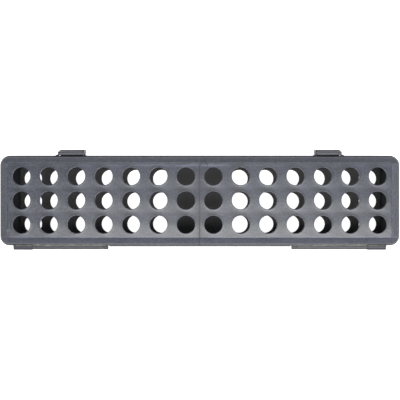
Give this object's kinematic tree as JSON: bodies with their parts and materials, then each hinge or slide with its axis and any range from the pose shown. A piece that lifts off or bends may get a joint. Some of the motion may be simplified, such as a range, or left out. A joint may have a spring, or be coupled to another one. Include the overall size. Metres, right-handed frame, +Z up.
{
  "type": "test tube rack",
  "caption": "Long grey plastic test tube rack: a hinged, latched lid with a grid of round tube holes over a closed-walled base that holds a perforated lower deck",
  "frame": {"origin": "on the bench the rack stands on, under the middle of the tube grid", "axes": "X runs along the rack, +Y points to the latch side, -Y to the hinge side, +Z up"},
  "size_m": [0.3752, 0.0948, 0.064],
  "materials": {
    "lid_plastic": "matte moulded blue-grey polypropylene with soft flow marks",
    "base_plastic": "matte moulded blue-grey polypropylene",
    "deck_plastic": "matte moulded dark grey polypropylene",
    "latch_plastic": "matte moulded blue-grey polypropylene",
    "pin_steel": "plain drawn stainless steel wire"
  },
  "bodies": {
    "base": {"base": "base_plastic", "lower_deck": "deck_plastic", "hinge_pin_left": "pin_steel", "hinge_pin_right": "pin_steel"},
    "lid": {"lid": "lid_plastic", "latch_pin_left": "pin_steel", "latch_pin_right": "pin_steel"},
    "latch_left": {"latch_left": "latch_plastic"},
    "latch_right": {"latch_right": "latch_plastic"}
  },
  "joints": [
    {"name": "lid_hinge", "type": "hinge", "parent": "base", "child": "lid", "pos_m": [0, -0.0435, 0.049], "axis": [1, 0, 0], "range_deg": [0, 180]},
    {"name": "latch_left_pivot", "type": "hinge", "parent": "lid", "child": "latch_left", "pos_m": [-0.121, 0.0446, 0.05], "axis": [1, 0, 0], "range_deg": [-8, 150]},
    {"name": "latch_right_pivot", "type": "hinge", "parent": "lid", "child": "latch_right", "pos_m": [0.121, 0.0446, 0.05], "axis": [1, 0, 0], "range_deg": [-8, 150]}
  ]
}
